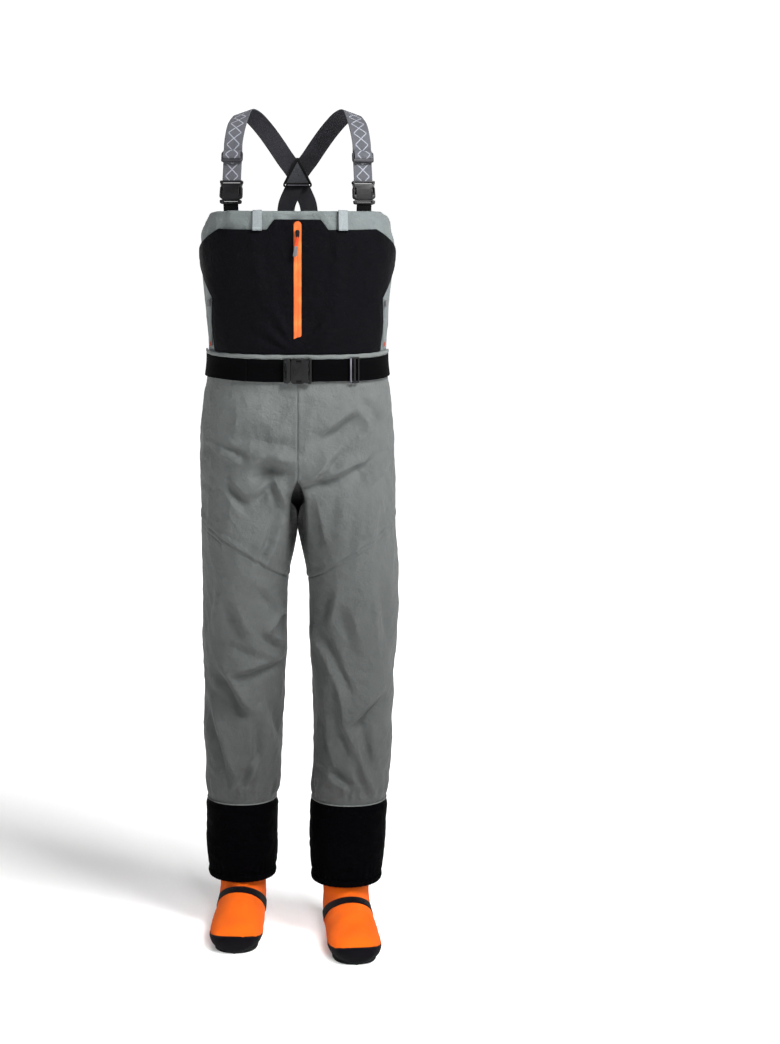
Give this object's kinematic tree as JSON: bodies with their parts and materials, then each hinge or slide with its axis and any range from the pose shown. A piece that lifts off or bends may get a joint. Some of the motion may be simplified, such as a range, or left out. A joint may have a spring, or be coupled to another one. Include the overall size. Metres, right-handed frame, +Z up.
{
  "type": "chest waders",
  "caption": "Stocking-foot chest waders with a zipped chest pocket, crossed suspenders with release buckles, a waist belt, gravel guards and neoprene booties.",
  "frame": {"origin": "on the floor under the middle of the waders, which stand on the soles of their booties", "axes": "+Z up, the wearer faces -Y, the wearer's left is +X"},
  "size_m": [0.345, 0.3209, 1.4639],
  "materials": {
    "shell_grey": "matte",
    "welt_grey": "matte",
    "pocket_black": "matte",
    "lining_grey": "matte",
    "guard_black": "matte",
    "bootie_orange": "matte",
    "rubber_black": "matte",
    "zip_orange": "satin",
    "pull_grey": "matte",
    "slider_black": "satin",
    "webbing_black": "matte",
    "webbing_grey": "matte",
    "loop_grey": "matte",
    "buckle_black": "satin"
  },
  "bodies": {
    "shell": {"bib_front": "shell_grey", "bib_back": "shell_grey", "belt_loop_right": "shell_grey", "belt_loop_left": "shell_grey", "upper_leg_right": "shell_grey", "lower_leg_right": "shell_grey", "upper_leg_left": "shell_grey", "lower_leg_left": "shell_grey", "gravel_guard_right": "guard_black", "gravel_guard_left": "guard_black", "bootie_right": "bootie_orange", "bootie_left": "bootie_orange", "bootie_sole_right": "rubber_black", "toe_cap_right": "rubber_black", "instep_band_right": "rubber_black", "bootie_sole_left": "rubber_black", "toe_cap_left": "rubber_black", "instep_band_left": "rubber_black", "chest_pocket": "pocket_black", "pocket_bag": "lining_grey", "pocket_welt": "welt_grey", "chest_zip_tape": "zip_orange", "side_zip_right": "zip_orange", "side_zip_left": "zip_orange", "bib_loop_right": "loop_grey", "bib_loop_left": "loop_grey", "belt_webbing": "webbing_black", "belt_end": "webbing_black", "strap_tab_right": "webbing_black", "strap_tab_left": "webbing_black", "strap_end_right": "webbing_grey", "strap_web_right": "webbing_grey", "strap_tail_right": "webbing_grey", "strap_end_left": "webbing_grey", "strap_web_left": "webbing_grey", "strap_tail_left": "webbing_grey", "belt_buckle_socket": "buckle_black", "cross_piece": "buckle_black", "strap_buckle_plug_right": "buckle_black", "strap_buckle_plug_left": "buckle_black"},
    "chest_zip_slider": {"chest_zip_slider": "slider_black"},
    "chest_zip_pull": {"chest_zip_pull": "pull_grey"},
    "side_zip_slider_right": {"side_zip_slider_right": "slider_black"},
    "side_zip_slider_left": {"side_zip_slider_left": "slider_black"},
    "belt_buckle_plug": {"belt_buckle_plug": "buckle_black"},
    "belt_prong_a": {"belt_prong_a": "buckle_black"},
    "belt_prong_b": {"belt_prong_b": "buckle_black"},
    "belt_keeper": {"belt_keeper": "buckle_black"},
    "strap_buckle_socket_right": {"strap_buckle_socket_right": "buckle_black"},
    "strap_prong_a_right": {"strap_prong_a_right": "buckle_black"},
    "strap_prong_b_right": {"strap_prong_b_right": "buckle_black"},
    "strap_adjuster_right": {"strap_adjuster_right": "buckle_black"},
    "guard_hem_right": {"guard_hem_right": "guard_black"},
    "strap_buckle_socket_left": {"strap_buckle_socket_left": "buckle_black"},
    "strap_prong_a_left": {"strap_prong_a_left": "buckle_black"},
    "strap_prong_b_left": {"strap_prong_b_left": "buckle_black"},
    "strap_adjuster_left": {"strap_adjuster_left": "buckle_black"},
    "guard_hem_left": {"guard_hem_left": "guard_black"}
  },
  "joints": [
    {"name": "chest_zip_slide", "type": "slide", "parent": "shell", "child": "chest_zip_slider", "axis": [0, 0.0122, -0.9999], "range_m": [0, 0.155]},
    {"name": "chest_pull_swing", "type": "hinge", "parent": "chest_zip_slider", "child": "chest_zip_pull", "pos_m": [0, -0.12967, 1.26383], "axis": [-1, 0, 0], "range_deg": [0, 150]},
    {"name": "side_zip_slide_right", "type": "slide", "parent": "shell", "child": "side_zip_slider_right", "axis": [0, 0.1282, -0.9918], "range_m": [0, 0.06]},
    {"name": "side_zip_slide_left", "type": "slide", "parent": "shell", "child": "side_zip_slider_left", "axis": [0, 0.1282, -0.9918], "range_m": [0, 0.06]},
    {"name": "belt_release", "type": "slide", "parent": "shell", "child": "belt_buckle_plug", "axis": [-1, 0, 0], "range_m": [0, 0.035], "deforming": ["belt_end"]},
    {"name": "belt_prong_squeeze_a", "type": "hinge", "parent": "belt_buckle_plug", "child": "belt_prong_a", "pos_m": [-0.00377, -0.1205, 1.04633], "axis": [0, -1, 0], "range_deg": [-8, 0], "stiffness_Nm_per_rad": 0.2},
    {"name": "belt_prong_squeeze_b", "type": "hinge", "parent": "belt_buckle_plug", "child": "belt_prong_b", "pos_m": [-0.00377, -0.1205, 1.01967], "axis": [0, -1, 0], "range_deg": [0, 8], "stiffness_Nm_per_rad": 0.2},
    {"name": "belt_keeper_shift", "type": "hinge", "parent": "shell", "child": "belt_keeper", "pos_m": [0.03997, 0.02289, 1.033], "axis": [0, 0, 1], "range_deg": [-7, 8]},
    {"name": "strap_release_right", "type": "slide", "parent": "shell", "child": "strap_buckle_socket_right", "axis": [0.045, 0.2382, 0.9702], "range_m": [0, 0.024], "deforming": ["strap_end_right"]},
    {"name": "strap_prong_squeeze_a_right", "type": "hinge", "parent": "shell", "child": "strap_prong_a_right", "pos_m": [-0.12247, -0.07603, 1.32504], "axis": [-0.2667, -0.9331, 0.2415], "range_deg": [-8, 0], "stiffness_Nm_per_rad": 0.2},
    {"name": "strap_prong_squeeze_b_right", "type": "hinge", "parent": "shell", "child": "strap_prong_b_right", "pos_m": [-0.09919, -0.08255, 1.32556], "axis": [-0.2667, -0.9331, 0.2415], "range_deg": [0, 8], "stiffness_Nm_per_rad": 0.2},
    {"name": "strap_adjust_right", "type": "slide", "parent": "shell", "child": "strap_adjuster_right", "axis": [0.045, 0.2382, 0.9702], "range_m": [0, 0.022]},
    {"name": "guard_lift_right", "type": "slide", "parent": "shell", "child": "guard_hem_right", "axis": [0, 0, 1], "range_m": [0, 0.06], "deforming": ["gravel_guard_right"]},
    {"name": "strap_release_left", "type": "slide", "parent": "shell", "child": "strap_buckle_socket_left", "axis": [-0.045, 0.2382, 0.9702], "range_m": [0, 0.024], "deforming": ["strap_end_left"]},
    {"name": "strap_prong_squeeze_a_left", "type": "hinge", "parent": "shell", "child": "strap_prong_a_left", "pos_m": [0.09919, -0.08255, 1.32556], "axis": [0.2667, -0.9331, 0.2415], "range_deg": [-8, 0], "stiffness_Nm_per_rad": 0.2},
    {"name": "strap_prong_squeeze_b_left", "type": "hinge", "parent": "shell", "child": "strap_prong_b_left", "pos_m": [0.12247, -0.07603, 1.32504], "axis": [0.2667, -0.9331, 0.2415], "range_deg": [0, 8], "stiffness_Nm_per_rad": 0.2},
    {"name": "strap_adjust_left", "type": "slide", "parent": "shell", "child": "strap_adjuster_left", "axis": [-0.045, 0.2382, 0.9702], "range_m": [0, 0.022]},
    {"name": "guard_lift_left", "type": "slide", "parent": "shell", "child": "guard_hem_left", "axis": [0, 0, 1], "range_m": [0, 0.06], "deforming": ["gravel_guard_left"]}
  ],
  "couplings": [
    {"joint": "belt_prong_squeeze_b", "follows": "belt_prong_squeeze_a", "ratio": -1},
    {"joint": "strap_prong_squeeze_b_right", "follows": "strap_prong_squeeze_a_right", "ratio": -1},
    {"joint": "strap_prong_squeeze_b_left", "follows": "strap_prong_squeeze_a_left", "ratio": -1}
  ]
}
